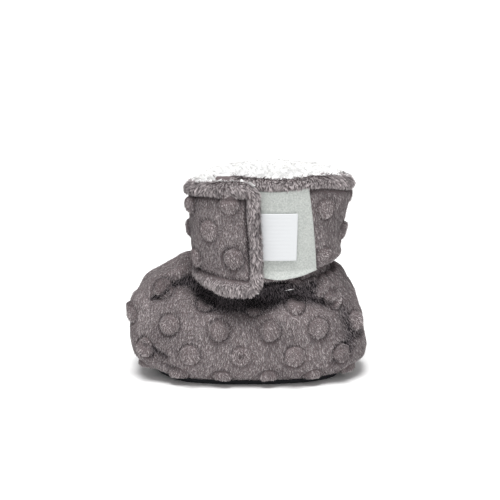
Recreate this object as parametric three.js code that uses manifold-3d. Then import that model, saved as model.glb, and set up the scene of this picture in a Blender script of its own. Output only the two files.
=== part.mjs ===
// A baby's ankle slipper, sewn from dotted plush: a soft, rounded upper gathered in to a short neck,
// a thin flat outsole, a padded insole, and a tall cuff that wraps once round the ankle and closes
// over itself on the outer side with a strip of loop tape. A woven label is sewn in at the flap's edge.
//
// Millimetres. +X runs from toe to heel, -Y is the side with the closure, +Z is up.
// The origin is the middle of the sole's flat underside.
import * as THREE from "three";
import { mergeVertices } from "three/addons/utils/BufferGeometryUtils.js";
import Module from "manifold-3d";

const wasm = await Module();
wasm.setup();

// Upper
const shoeLength = 117; // toe to heel at the widest, without the dots
const shoeWidth = 68; // across at the widest, without the dots
const bodyHeight = 54.5; // from the sole up to the seam round the ankle
const upperWall = 3; // plush, wadding and lining together
const ankleLength = 56.2; // outside of the neck, front to back
const ankleWidth = 48.4; // outside of the neck, side to side
const ankleBack = 10.5; // how far the neck's middle is behind the shoe's middle
const neckRise = 7; // neck above the ankle seam, inside the cuff
const toeSeamDepth = 7; // valley where the two side panels meet over the instep
const toeSeamWidth = 6;
const toeRidgeRise = 1.5; // ridges on both sides of that valley
const toeRidgeOffset = 13.2; // from the seam to the crest of a ridge
const toeRidgeWidth = 4.8;
const heelSeamDepth = 1;
const heelSeamWidth = 3;

// Sole and insole
const soleLength = 90;
const soleWidth = 50;
const soleThickness = 2.2;
const soleEdgeRound = 0.6;
const toeSpringHeight = 1.5; // how far the sole's toe end turns up
const springLength = 17; // length of sole that turns up
const insoleThickness = 5.5;
const insoleStep = 2.4; // how far the insole's top spreads over the upper's turned-in edge

// Cuff
const cuffWall = 4.5; // two layers of plush and lining
const cuffHeight = 44; // from the ankle seam up to the rim
const cuffLean = 5.5; // how far the rim leans out at toe and heel
const cuffLeanSide = 2.5; // how far the rim leans out at the sides
const cuffBackLean = 1.7; // how far the rim's middle sits behind the neck's middle
const hemFlare = 6; // how far the hem would stand out a quarter of the cuff's height below the seam
const cuffBorder = 6; // from the edge to the line of stitching
const cuffEdgeRound = 1.6;
const seamGroove = 1.2; // depth of the stitched line in the plush
const flapCorner = 8.5; // radius of the flap's free corners

// Closure and label
const clearance = 0.3; // between sewn pieces
const tapeThickness = 1;
const tapeRimGap = 5.2; // tape's top edge below the rim
const tapeHemGap = 0.9; // tape's bottom edge above the cuff's
const labelThickness = 0.6;
const labelHeight = 22.4;
const labelBelowRim = 15.7; // label's top edge below the rim

// Raised dots of the plush
const dotDiameter = 9.2;
const dotRise = 1.7;
const dotPitch = 24.4; // along a row
const rowPitch = 12.7; // from row to row
const firstDotX = 11; // a dot of every second row of the upper lies this far behind the shoe's middle
const flapDotInset = 13.5; // from the flap's edge to its first column of dots

const soleTop = soleThickness + clearance;

// Turns round the ankle in degrees: 0 is the heel, -90 the middle of the closure side and 180 the toe.
const underlapAngle = -135;
const flapAngle = 264;
const flapSlant = -4; // turn from the flap's bottom corner to its top corner
const tapeAngle = -62;
const tapeSlant = -17.5;
const tapeTuck = 33; // turn of tape hidden under the flap
const labelAngle = -75.2;
const labelTuck = 8; // turn of label hidden under the flap
const liftStartAngle = 158; // where the band starts to leave the neck, to pass over its own end
const liftEndAngle = 218;
const flatHemStart = 150; // the hem doesn't flare between these two, over the toe
const flatHemEnd = 245;
const flatHemFade = [30, 20]; // turn over which the flare fades out and comes back
const fullTurn = 360;

// A table as a list of rows, each with its values under the names of the columns.
function table(columns, rows) {
  return rows.map((row) => Object.fromEntries(columns.map((column, i) => [column, row[i]])));
}

// Sections of the upper, from its edge turned in over the sole up to the top of the neck.
// toe, heel and side say where that section's outline lies: -1 is the sole's outline, 0 the full
// outline of the shoe and 1 the neck's. The rises are shares of the body's height up to 1, and of
// the neck's rise beyond. back is a share of ankleBack, valley a share of the seam's depth.
const sections = table(
  ["toe", "heel", "side", "toeRise", "heelRise", "sideRise", "back", "square", "valley"],
  [
    [-1.29, -1.29, -1.44, 0, 0, 0, 0, 2.5, 0],
    [-1, -1, -1, 0, 0, 0, 0, 2.5, 0],
    [-0.56, -0.52, -0.52, 0.048, 0.04, 0.045, 0, 2.5, 0],
    [-0.2, -0.13, -0.2, 0.138, 0.12, 0.125, -0.1, 2.5, 0.1],
    [-0.02, 0, -0.02, 0.266, 0.215, 0.23, -0.2, 2.5, 0.2],
    [0, 0.07, 0.01, 0.41, 0.36, 0.36, -0.1, 2.5, 0.35],
    [0.045, 0.15, 0.06, 0.56, 0.505, 0.49, 0, 2.5, 0.6],
    [0.13, 0.27, 0.22, 0.73, 0.65, 0.615, 0.2, 2.5, 0.85],
    [0.29, 0.42, 0.44, 0.885, 0.775, 0.725, 0.4, 2.5, 1],
    [0.5, 0.58, 0.67, 0.96, 0.865, 0.815, 0.6, 2.45, 1],
    [0.73, 0.77, 0.86, 0.985, 0.92, 0.875, 0.8, 2.4, 0.7],
    [0.97, 0.975, 0.985, 0.985, 0.955, 0.935, 0.95, 2.3, 0.25],
    [1, 1, 1, 1.4, 1.4, 1.35, 1, 2.3, 0],
    [1, 1, 1, 2, 2, 2, 1, 2.3, 0],
  ],
);
const neckTop = sections.length - 1;

// Main folds of the upper. side is -1 for the closure's side and 0 for both. along is a share of half
// the length (the toe is -1), level counts sections, and the reaches say how far the fold fades out.
const folds = table(
  ["side", "along", "level", "alongReach", "levelReach", "depth", "name"],
  [
    [0, -0.6, 8.2, 0.2, 0.7, 2.4, "under the instep's ridge"],
    [-1, -0.37, 9.4, 0.15, 1.2, 6.5, "under the flap's corner"],
    [0, 0.58, 7.6, 0.22, 0.55, 2.2, "below the cuff at the heel"],
    [0, 0.18, 9.8, 0.06, 1.3, 1.6, "gather beside the ankle"],
  ],
);

// The cuff's edges round the ankle: bottom is how far the edge hangs below the ankle seam and top
// how far the rim stands above or below its mean height, both as shares of the cuff's height.
const cuffEdges = table(
  ["turn", "bottom", "top"],
  [
    [-135, -0.04, -0.02],
    [-115, -0.03, 0],
    [-97, 0.1, -0.02],
    [-85, 0.1, -0.03],
    [-60, 0.03, 0.005],
    [-30, -0.005, -0.04],
    [0, 0, -0.1],
    [45, 0.05, -0.06],
    [90, 0.09, -0.02],
    [135, 0.02, -0.07],
    [180, -0.04, -0.13],
    [195, 0, -0.12],
    [210, 0.16, -0.1],
    [225, 0.2, -0.07],
    [245, 0.22, -0.04],
    [270, 0.235, -0.03],
  ],
);

// Dots beside the tape, where the band was cut from another place of the cloth. below is their
// depth under the rim, as a share of the row pitch.
const tapeDots = table(
  ["turn", "below"],
  [
    [-50, 1.2],
    [-44, 3.05],
    [-12, 2],
  ],
);

// How finely the solids are faceted
const turnsAround = 48;
const levelSteps = 18;
const innerLevels = [0, 1, 2, 3.2, 4.6, 6, 7.5, 9, 10.5, 12, 13];
const cuffStations = 50;
const dotTurnsAround = 8;
const facetSlack = 0.05; // facets closer than this to their neighbours' plane are merged

const radians = THREE.MathUtils.degToRad;
const lerp = THREE.MathUtils.lerp;
const smoothstep = THREE.MathUtils.smoothstep;

function signedPower(base, power) {
  return Math.sign(base) * Math.abs(base) ** power;
}

// A column of a table read between its rows on a smooth curve, at a row number with a fraction.
function columnAt(table, column, row) {
  const last = table.length - 1;
  const first = THREE.MathUtils.clamp(Math.floor(row), 0, last - 1);
  const share = row - first;
  const value = (index) => table[THREE.MathUtils.clamp(index, 0, last)][column];
  const [before, from, to, after] = [first - 1, first, first + 1, first + 2].map(value);
  const slopeFrom = (to - before) / 2;
  const slopeTo = (after - from) / 2;
  const rise = to - from;
  const bend = 3 * rise - 2 * slopeFrom - slopeTo;
  const twist = slopeFrom + slopeTo - 2 * rise;
  return from + share * (slopeFrom + share * (bend + share * twist));
}

// A closed surface through a list of loops with the same number of points. It either joins the last
// loop to the first, or closes both ends.
function solidThroughLoops(loops, joinEnds) {
  const around = loops[0].length;
  const points = loops.flat();
  const faces = [];
  const lastLoop = joinEnds ? loops.length : loops.length - 1;
  for (let loop = 0; loop < lastLoop; loop++) {
    const next = (loop + 1) % loops.length;
    for (let i = 0; i < around; i++) {
      const j = (i + 1) % around;
      const [a, b] = [loop * around + i, loop * around + j];
      const [c, d] = [next * around + j, next * around + i];
      faces.push([a, b, c], [a, c, d]);
    }
  }
  if (!joinEnds) {
    for (const end of [0, loops.length - 1]) {
      const middle = loops[end].reduce((sum, p) => sum.add(p), new THREE.Vector3()).divideScalar(around);
      const hub = points.push(middle) - 1;
      for (let i = 0; i < around; i++) {
        const [a, b] = [end * around + i, end * around + ((i + 1) % around)];
        faces.push(end === 0 ? [hub, b, a] : [hub, a, b]);
      }
    }
  }
  return solidOf(points, faces);
}

function solidOf(points, faces) {
  const vertProperties = new Float32Array(points.flatMap((p) => p.toArray()));
  const inward = signedVolume(points, faces) < 0;
  const triVerts = new Uint32Array(faces.flatMap(([a, b, c]) => (inward ? [a, c, b] : [a, b, c])));
  return new wasm.Manifold(new wasm.Mesh({ numProp: 3, vertProperties, triVerts }));
}

function signedVolume(points, faces) {
  let sum = 0;
  for (const [a, b, c] of faces) {
    sum += points[a].dot(new THREE.Vector3().crossVectors(points[b], points[c]));
  }
  return sum;
}

function geometrySolid(geometry) {
  geometry.deleteAttribute("normal");
  geometry.deleteAttribute("uv");
  const merged = mergeVertices(geometry);
  return new wasm.Manifold(
    new wasm.Mesh({
      numProp: 3,
      vertProperties: merged.attributes.position.array,
      triVerts: new Uint32Array(merged.index.array),
    }),
  );
}

function bufferGeometry(solid) {
  const { vertProperties, triVerts } = solid.getMesh();
  const geometry = new THREE.BufferGeometry();
  geometry.setAttribute("position", new THREE.BufferAttribute(vertProperties, 3));
  geometry.setIndex(new THREE.BufferAttribute(triVerts, 1));
  geometry.computeVertexNormals();
  return geometry;
}

// Where a section's outline lies, between the reaches of the sole, the full shoe and the neck.
function reach(draw, soleReach, fullReach, neckReach) {
  return draw < 0 ? lerp(fullReach, soleReach, -draw) : lerp(fullReach, neckReach, draw);
}

function riseToHeight(rise) {
  return soleTop + Math.min(Math.max(rise, 0), 1) * bodyHeight + Math.max(rise - 1, 0) * neckRise;
}

function toeLift(x) {
  return toeSpringHeight * smoothstep(-x, soleLength / 2 - springLength, soleLength / 2);
}

// A point of the upper's outside. level counts sections from the sole's edge, turn is in radians.
function skin(level, turn) {
  const at = (column) => columnAt(sections, column, level);
  const [along, across] = [Math.cos(turn), Math.sin(turn)];
  const toeSide = along < 0;
  const power = 2 / at("square");
  const middle = at("back") * ankleBack;
  const toeReach = reach(at("toe"), soleLength / 2, shoeLength / 2, ankleLength / 2 - ankleBack);
  const heelReach = reach(at("heel"), soleLength / 2, shoeLength / 2, ankleLength / 2 + ankleBack);
  const halfWidth = reach(at("side"), soleWidth / 2, shoeWidth / 2, ankleWidth / 2);
  const endReach = toeSide ? toeReach + middle : heelReach - middle;
  const x = middle + endReach * signedPower(along, power);
  const y = halfWidth * signedPower(across, power);
  const endShare = Math.abs(along) ** 1.5;
  const rise = lerp(at("sideRise"), at(toeSide ? "toeRise" : "heelRise"), endShare);
  const z = riseToHeight(rise) + toeLift(x) * Math.max(0, 1 - rise / 0.15);
  const point = new THREE.Vector3(x, y, z);
  return point.addScaledVector(towardsCore(point), dentDepth(point, level, at("valley"), toeSide));
}

function towardsCore(point) {
  const halfCore = shoeLength * 0.27;
  const coreHeight = soleTop + bodyHeight * 0.4;
  const core = new THREE.Vector3(THREE.MathUtils.clamp(point.x, -halfCore, halfCore), 0, coreHeight);
  return core.sub(point).normalize();
}

// How far the seams and the main folds pull the outside in.
function dentDepth(point, level, valley, toeSide) {
  const seamDepth = toeSide ? toeSeamDepth * valley : heelSeamDepth * Math.min(1, valley * 2);
  const seamWidth = toeSide ? toeSeamWidth : heelSeamWidth;
  let depth = seamDepth * Math.exp(-((point.y / seamWidth) ** 2));
  if (toeSide) {
    depth -= toeRidgeRise * valley * Math.exp(-(((Math.abs(point.y) - toeRidgeOffset) / toeRidgeWidth) ** 2));
  }
  for (const fold of folds) {
    const alongShare = (point.x / (shoeLength / 2) - fold.along) / fold.alongReach;
    const levelShare = (level - fold.level) / fold.levelReach;
    const across = fold.side === 0 ? Math.abs(point.y) : fold.side * point.y;
    const sideShare = smoothstep(across, toeSeamWidth, toeSeamWidth * 2);
    depth += fold.depth * sideShare * Math.exp(-(alongShare ** 2) - levelShare ** 2);
  }
  return depth;
}

function skinNormal(level, turn) {
  const step = 0.01;
  const low = Math.max(level - step, 0);
  const high = Math.min(level + step, neckTop);
  const up = skin(high, turn).sub(skin(low, turn));
  const round = skin(level, turn + step).sub(skin(level, turn - step));
  return round.cross(up).normalize();
}

// The upper's inside. Its lowest loop stands straight above the outside's, so that the edge that is
// turned in over the sole has an upright cut face, and its highest loop is level with the neck's top.
function inside(level, turn) {
  const outer = skin(level, turn);
  const point = outer.clone().addScaledVector(skinNormal(level, turn), -upperWall);
  if (level === 0) {
    point.set(outer.x, outer.y, outer.z + upperWall);
  }
  if (level === neckTop) {
    point.z = outer.z;
  }
  return point;
}

function loopAt(surface, level) {
  return Array.from({ length: turnsAround }, (_, i) => surface(level, (i * 2 * Math.PI) / turnsAround));
}

// A raised dot: a flattened ball whose middle lies in the outside of the cloth.
function dotAt(centre, normal) {
  const ball = new THREE.SphereGeometry(1, dotTurnsAround, dotTurnsAround / 2);
  ball.scale(dotDiameter / 2, dotRise, dotDiameter / 2);
  ball.applyQuaternion(new THREE.Quaternion().setFromUnitVectors(new THREE.Vector3(0, 1, 0), normal));
  ball.translate(centre.x, centre.y, centre.z);
  return geometrySolid(ball);
}

// Turns at which dots stand on one side panel, a pitch apart round the shoe's widest section.
// They start from a dot at startX and stop short of the seams at toe and heel.
function dotTurns(startX, side) {
  const widest = 4.5;
  const step = 0.01;
  const seamMargin = dotDiameter * 0.75;
  const found = [];
  const start = side * Math.acos(signedPower(startX / (shoeLength / 2), sections[4].square / 2));
  for (const way of [1, -1]) {
    let turn = start;
    let travelled = 0;
    let last = skin(widest, turn);
    if (way === 1) {
      found.push(turn);
    }
    while (Math.abs(last.y) > seamMargin) {
      turn += way * step;
      const point = skin(widest, turn);
      travelled += point.distanceTo(last);
      last = point;
      if (travelled >= dotPitch && Math.abs(point.y) > seamMargin) {
        found.push(turn);
        travelled -= dotPitch;
      }
      if (Math.sign(point.y) !== side) {
        break;
      }
    }
  }
  return found;
}

// Levels of the rows of dots, a row pitch apart up the side of the upper.
function dotLevels() {
  const step = 0.02;
  const found = [];
  let climbed = rowPitch * 0.2;
  let last = skin(2, -Math.PI / 2);
  for (let level = 2; level < neckTop - 2.6; level += step) {
    const point = skin(level, -Math.PI / 2);
    climbed += point.distanceTo(last);
    last = point;
    if (climbed >= rowPitch || level === 2) {
      found.push(level);
      climbed = 0;
    }
  }
  return found;
}

function makeUpper() {
  const loops = Array.from({ length: levelSteps + 1 }, (_, i) => loopAt(skin, (i * neckTop) / levelSteps));
  const innerLoops = innerLevels.map((level) => loopAt(inside, level)).reverse();
  let solid = solidThroughLoops([...loops, ...innerLoops], true);
  dotLevels().forEach((level, row) => {
    for (const side of [-1, 1]) {
      const startX = row % 2 === 0 ? firstDotX : firstDotX - dotPitch / 2;
      for (const turn of dotTurns(startX, side)) {
        const centre = skin(level, turn);
        if (centre.z < hemAbove(centre) - dotRise) {
          solid = solid.add(dotAt(centre, skinNormal(level, turn)));
        }
      }
    }
  });
  return solid.simplify(facetSlack);
}

// A flat outline with the sole's shape, drawn in by an inset, at a height that follows the toe spring.
function soleLoop(inset, height, liftShare) {
  const [endReach, halfWidth] = [soleLength / 2 - inset, soleWidth / 2 - inset];
  const power = 2 / sections[1].square;
  return Array.from({ length: turnsAround }, (_, i) => {
    const turn = (i * 2 * Math.PI) / turnsAround;
    const x = endReach * signedPower(Math.cos(turn), power);
    const y = halfWidth * signedPower(Math.sin(turn), power);
    return new THREE.Vector3(x, y, height + liftShare * toeLift(x));
  });
}

function makeOutsole() {
  const flatInset = springLength;
  return solidThroughLoops(
    [
      soleLoop(flatInset, 0, 0),
      soleLoop(soleEdgeRound, 0, 1),
      soleLoop(0, soleEdgeRound, 1),
      soleLoop(0, soleThickness - soleEdgeRound, 1),
      soleLoop(soleEdgeRound, soleThickness, 1),
      soleLoop(flatInset, soleThickness, 0),
    ],
    false,
  );
}

// The insole fills the well inside the upper's turned-in edge, and its top spreads over that edge.
function makeInsole() {
  const edge = loopAt(skin, 0);
  const drawnIn = (inset, height) =>
    edge.map((point) => {
      const inward = new THREE.Vector3(-point.x / soleLength ** 2, -point.y / soleWidth ** 2, 0).normalize();
      const moved = point.clone().addScaledVector(inward, inset);
      moved.z = height + toeLift(point.x);
      return moved;
    });
  const stepHeight = soleTop + upperWall + clearance;
  const top = soleTop + insoleThickness;
  const topRound = 0.8;
  return solidThroughLoops(
    [
      drawnIn(clearance, soleTop),
      drawnIn(clearance, stepHeight),
      drawnIn(-insoleStep, stepHeight),
      drawnIn(-insoleStep, top - topRound),
      drawnIn(topRound - insoleStep, top),
    ],
    false,
  );
}

function edgeAt(column, turn) {
  const last = cuffEdges.length - 1;
  const next = Math.min(Math.max(cuffEdges.findIndex((edge) => edge.turn > turn), 1), last);
  const span = cuffEdges[next].turn - cuffEdges[next - 1].turn;
  const share = (turn - cuffEdges[next - 1].turn) / span;
  return columnAt(cuffEdges, column, turn >= cuffEdges[last].turn ? last : next - 1 + share);
}

const seamHeight = soleTop + bodyHeight;
const cuffBottom = (turn) => seamHeight - edgeAt("bottom", turn) * cuffHeight;
const cuffTop = (turn) => seamHeight + (1 + edgeAt("top", turn)) * cuffHeight;
const hemAbove = ({ x, y }) => {
  const turn = THREE.MathUtils.radToDeg(Math.atan2(y, x - ankleBack));
  const turns = [turn, turn + fullTurn].filter((each) => each >= underlapAngle && each <= flapAngle);
  return Math.min(...turns.map(cuffBottom));
};
const flapLift = 2 * clearance + tapeThickness + labelThickness + clearance + cuffWall;

// The hem stands out over the upper's shoulder, but not at the toe, where it lies in the hollow
// beside the instep's ridge.
function flareShare(turn) {
  const round = turn < 0 ? turn + fullTurn : turn;
  const fadedOut = smoothstep(round, flatHemStart, flatHemStart + flatHemFade[0]);
  const back = smoothstep(round, flatHemEnd - flatHemFade[1], flatHemEnd);
  return 1 - fadedOut * (1 - back);
}

// A point of the band: turn in degrees, out from the underlap's outside, and a height.
function bandPoint(turn, out, z) {
  const leanShare = (z - seamHeight) / cuffHeight;
  const flare = hemFlare * Math.max(0, -4 * leanShare) * flareShare(turn);
  const base = clearance + cuffWall + flare + flapLift * smoothstep(turn, liftStartAngle, liftEndAngle) + out;
  const endReach = ankleLength / 2 + cuffLean * Math.max(0, leanShare) + base;
  const halfWidth = ankleWidth / 2 + cuffLeanSide * Math.max(0, leanShare) + base;
  const power = 2 / sections[neckTop].square;
  const angle = radians(turn);
  return new THREE.Vector3(
    ankleBack + cuffBackLean * leanShare + endReach * signedPower(Math.cos(angle), power),
    halfWidth * signedPower(Math.sin(angle), power),
    z,
  );
}

function slanted(turn, slant, z) {
  return turn + slant * ((z - seamHeight) / cuffHeight - 0.5);
}

// The turn reached by going a distance along the band from a turn, at half the cuff's height.
function turnAlong(turn, distance) {
  const half = seamHeight + cuffHeight / 2;
  const perDegree = bandPoint(turn + 0.5, 0, half).distanceTo(bandPoint(turn - 0.5, 0, half));
  return turn + distance / perDegree;
}

// The band's section as a loop of points, from the bottom edge up the outside and down the inside.
// thin is the share of the wall that is left here, and onSeam says that the whole panel between the
// two lines of stitching is pulled in.
function cuffSection(turn, slant, bottom, top, thin, onSeam) {
  const groove = seamGroove / cuffWall;
  const face = onSeam ? 1 - groove : 1;
  const seam = 1 - groove;
  const half = seamGroove / 2;
  const middle = (bottom + top) / 2;
  const corners = [
    [0.25, bottom],
    [0.75, bottom],
    [1, bottom + cuffEdgeRound],
    [1, bottom + cuffBorder - half],
    [seam, bottom + cuffBorder],
    [face, bottom + cuffBorder + half],
    [face, middle],
    [face, top - cuffBorder - half],
    [seam, top - cuffBorder],
    [1, top - cuffBorder + half],
    [1, top - cuffEdgeRound],
    [0.75, top],
    [0.25, top],
    [0, top - cuffEdgeRound],
    [0, middle],
    [0, bottom + cuffEdgeRound],
  ];
  return corners.map(([share, z]) => {
    const squeezed = lerp(0.5, share, thin);
    return bandPoint(slanted(turn, slant, z), (squeezed - 1) * cuffWall, z);
  });
}

function makeCuff() {
  const stations = [];
  const endSeam = turnAlong(flapAngle, -cuffBorder);
  const lastPlain = turnAlong(endSeam, -seamGroove / 2);
  for (let i = 0; i <= cuffStations; i++) {
    stations.push({ turn: lerp(underlapAngle, lastPlain, i / cuffStations), thin: 1, onSeam: false });
  }
  stations.push({ turn: endSeam, thin: 1, onSeam: true });
  stations.push({ turn: turnAlong(endSeam, seamGroove / 2), thin: 1, onSeam: false });
  for (const [share, thin] of [[0.35, 1], [0.6, 1], [0.8, 0.95], [0.93, 0.8], [1, 0.5]]) {
    const turn = turnAlong(flapAngle, (share - 1) * (cuffBorder - seamGroove / 2));
    stations.push({ turn, thin, onSeam: false });
  }
  const roundedShare = 0.97; // of a quarter circle, so that the corner doesn't end in a sliver
  const cornerStart = turnAlong(flapAngle, -flapCorner);
  const loops = stations.map(({ turn, thin, onSeam }) => {
    const into = THREE.MathUtils.clamp((turn - cornerStart) / (flapAngle - cornerStart), 0, 1);
    const cut = flapCorner * (1 - Math.sqrt(1 - (into * roundedShare) ** 2));
    const slant = flapSlant * smoothstep(turn, liftStartAngle, liftEndAngle);
    return cuffSection(turn, slant, cuffBottom(turn) + cut, cuffTop(turn) - cut, thin, onSeam);
  });
  let solid = solidThroughLoops(loops, false);
  for (const { turn, below } of cuffDots()) {
    const z = cuffTop(turn) - below;
    const at = slanted(turn, flapSlant * smoothstep(turn, liftStartAngle, liftEndAngle), z);
    const along = bandPoint(at + 1, 0, z).sub(bandPoint(at - 1, 0, z));
    const up = bandPoint(at, 0, z + 1).sub(bandPoint(at, 0, z - 1));
    solid = solid.add(dotAt(bandPoint(at, 0, z), along.cross(up).normalize()));
  }
  return solid.simplify(facetSlack);
}

// Dots of the band, in columns half a pitch apart from the flap round the far side to the heel, and
// then those beside the tape.
function cuffDots() {
  const found = tapeDots.map(({ turn, below }) => ({ turn, below: below * rowPitch }));
  const rows = [0.75, 1.75, 2.8]; // depth under the rim, as a share of the row pitch
  let turn = turnAlong(flapAngle, -flapDotInset);
  for (let column = 0; turn > 0; column++) {
    const clearOfHem = cuffTop(turn) - cuffBottom(turn) - cuffBorder;
    rows
      .filter((_, row) => row % 2 === column % 2)
      .map((share) => share * rowPitch)
      .filter((below) => below > cuffBorder + dotDiameter / 4 && below < clearOfHem)
      .forEach((below) => found.push({ turn, below }));
    turn = turnAlong(turn, -dotPitch / 2);
  }
  return found;
}

// A thin strip that lies on the band between two turns, with its own slant at each end.
function stripOnBand({ from, to, fromSlant, toSlant, out, thickness, bottomAt, topAt, steps }) {
  const rows = 5;
  const loops = Array.from({ length: steps + 1 }, (_, i) => {
    const share = i / steps;
    const turn = lerp(from, to, share);
    const slant = lerp(fromSlant, toSlant, share);
    const heights = Array.from({ length: rows + 1 }, (_, k) => lerp(bottomAt(turn), topAt(turn), k / rows));
    const outer = heights.map((z) => bandPoint(slanted(turn, slant, z), out + thickness, z));
    const inner = heights.map((z) => bandPoint(slanted(turn, slant, z), out, z));
    return [...outer, ...inner.reverse()];
  });
  return solidThroughLoops(loops, false);
}

function makeTape() {
  return stripOnBand({
    from: flapAngle - fullTurn - tapeTuck,
    to: tapeAngle,
    fromSlant: flapSlant,
    toSlant: tapeSlant,
    out: clearance,
    thickness: tapeThickness,
    bottomAt: (turn) => cuffBottom(turn) + tapeHemGap,
    topAt: (turn) => cuffTop(turn) - tapeRimGap,
    steps: 30,
  });
}

function makeLabel() {
  const top = () => cuffTop(flapAngle - fullTurn) - labelBelowRim;
  return stripOnBand({
    from: flapAngle - fullTurn - labelTuck,
    to: labelAngle,
    fromSlant: flapSlant,
    toSlant: flapSlant,
    out: 2 * clearance + tapeThickness,
    thickness: labelThickness,
    bottomAt: () => top() - labelHeight,
    topAt: top,
    steps: 13,
  });
}

function addPiece(group, name, solid, color, roughness) {
  const mesh = new THREE.Mesh(
    bufferGeometry(solid),
    new THREE.MeshStandardMaterial({ color, roughness, metalness: 0 }),
  );
  mesh.name = name;
  group.add(mesh);
}

const plush = "#6f6362";
const slipper = new THREE.Group();
addPiece(slipper, "outsole", makeOutsole(), "#1d1e21", 0.9);
addPiece(slipper, "insole", makeInsole(), "#efeeea", 0.95);
addPiece(slipper, "upper", makeUpper(), plush, 0.95);
addPiece(slipper, "cuff", makeCuff(), plush, 0.95);
addPiece(slipper, "loop_tape", makeTape(), "#bdc0bc", 0.9);
addPiece(slipper, "woven_label", makeLabel(), "#eceeee", 0.6);

export default slipper;
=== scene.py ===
# %% [markdown]
# A baby's ankle slipper stands alone on a white table. It is sewn from plush with raised dots,
# lined with white fleece, and closed round the ankle by a cuff that wraps over itself.
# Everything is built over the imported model, which stays in place as a hidden last. The plush could
# be painted on as a bumpy texture, but its nap breaks up every edge and shadow, so the cloth is
# modelled first and then a short pile of real tufts is grown on it.

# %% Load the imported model
import math

import bpy
import numpy as np
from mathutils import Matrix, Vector, noise


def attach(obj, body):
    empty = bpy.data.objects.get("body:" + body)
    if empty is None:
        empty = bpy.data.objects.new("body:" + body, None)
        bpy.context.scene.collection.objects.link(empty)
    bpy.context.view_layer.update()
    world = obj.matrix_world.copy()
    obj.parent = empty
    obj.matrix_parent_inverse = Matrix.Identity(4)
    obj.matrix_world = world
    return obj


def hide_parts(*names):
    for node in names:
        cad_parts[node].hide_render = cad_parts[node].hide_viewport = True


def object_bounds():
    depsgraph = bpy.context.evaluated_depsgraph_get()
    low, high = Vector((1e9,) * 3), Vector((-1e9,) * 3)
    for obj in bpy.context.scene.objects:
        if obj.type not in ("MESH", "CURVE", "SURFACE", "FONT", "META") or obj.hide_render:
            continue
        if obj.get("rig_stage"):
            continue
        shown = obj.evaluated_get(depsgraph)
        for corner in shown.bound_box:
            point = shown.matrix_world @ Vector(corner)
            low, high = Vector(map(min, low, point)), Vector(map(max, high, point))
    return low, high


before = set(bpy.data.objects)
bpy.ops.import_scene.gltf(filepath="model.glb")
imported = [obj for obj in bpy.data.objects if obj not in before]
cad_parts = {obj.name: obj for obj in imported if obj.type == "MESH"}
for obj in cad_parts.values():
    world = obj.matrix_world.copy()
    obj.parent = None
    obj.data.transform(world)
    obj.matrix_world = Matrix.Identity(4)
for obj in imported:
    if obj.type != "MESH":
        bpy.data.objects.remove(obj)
cad_box = [list(corner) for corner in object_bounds()]
MM = 0.001
print("the packed model holds", sorted(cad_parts))

# %% [markdown]
# The camera comes first, so that each later piece can be looked at from the photograph's own angle.
# The slipper was photographed side on, from a little above, with a long lens. The lens is given by
# the width that one image pixel covers at the slipper, and a small shift puts it low in the frame
# without tilting the camera, as a photographer does with a shift lens.

# %% Camera
IMAGE_PIXELS = 500
FOCAL_PIXELS = 1332
CAMERA_DISTANCE = 650
CAMERA_RAISED = math.radians(13)
AIM_HEIGHT = 50
AIM_PIXEL = (248, 271)

bpy.ops.object.camera_add(
    location=(
        0,
        -CAMERA_DISTANCE * math.cos(CAMERA_RAISED) * MM,
        (AIM_HEIGHT + CAMERA_DISTANCE * math.sin(CAMERA_RAISED)) * MM,
    ),
    rotation=(math.pi / 2 - CAMERA_RAISED, 0, 0),
)
camera = bpy.context.object
camera.name = "camera"
camera.data.lens = camera.data.sensor_width * FOCAL_PIXELS / IMAGE_PIXELS
camera.data.shift_x = 0.5 - AIM_PIXEL[0] / IMAGE_PIXELS
camera.data.shift_y = AIM_PIXEL[1] / IMAGE_PIXELS - 0.5
camera.data.clip_start = 0.01
bpy.context.scene.camera = camera
print("lens", round(camera.data.lens, 1), "mm")

# %% [markdown]
# The slipper's sizes, in millimetres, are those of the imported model: its length and width where it
# is fullest, the flat sole, and the neck that the ankle goes through. Everything below is worked
# out from them.

# %% Sizes of the slipper
SHOE_LENGTH, SHOE_WIDTH = 117, 68
SOLE_LENGTH, SOLE_WIDTH, SOLE_THICKNESS = 90, 50, 2.2
BODY_HEIGHT, NECK_RISE = 54.5, 7
ANKLE_LENGTH, ANKLE_WIDTH, ANKLE_BACK = 56.2, 48.4, 10.5
UPPER_WALL = 3
CLEARANCE = 0.3
SOLE_TOP = SOLE_THICKNESS + CLEARANCE
SEAM_HEIGHT = SOLE_TOP + BODY_HEIGHT
TOE_SPRING, SPRING_LENGTH = 1.5, 17
TOE_SEAM_DEPTH, TOE_SEAM_WIDTH = 7, 6
TOE_RIDGE_RISE, TOE_RIDGE_OFFSET, TOE_RIDGE_WIDTH = 1.5, 13.2, 4.8
HEEL_SEAM_DEPTH, HEEL_SEAM_WIDTH = 1.6, 3
print("upper", SHOE_LENGTH, "x", SHOE_WIDTH, "x", SEAM_HEIGHT, "mm up to the ankle seam")

# %% [markdown]
# A shoemaker draws a last as sections from the sole upwards. Each row below is one such section. It
# says how far the outline is drawn in at toe, heel and side (-1 is the sole's outline, 0 the full
# outline and 1 the neck's) and how high it lies there. Reading a column between its rows on a smooth
# curve gives the whole skin as one formula of two numbers: the level up the shoe and the turn round it.

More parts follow.
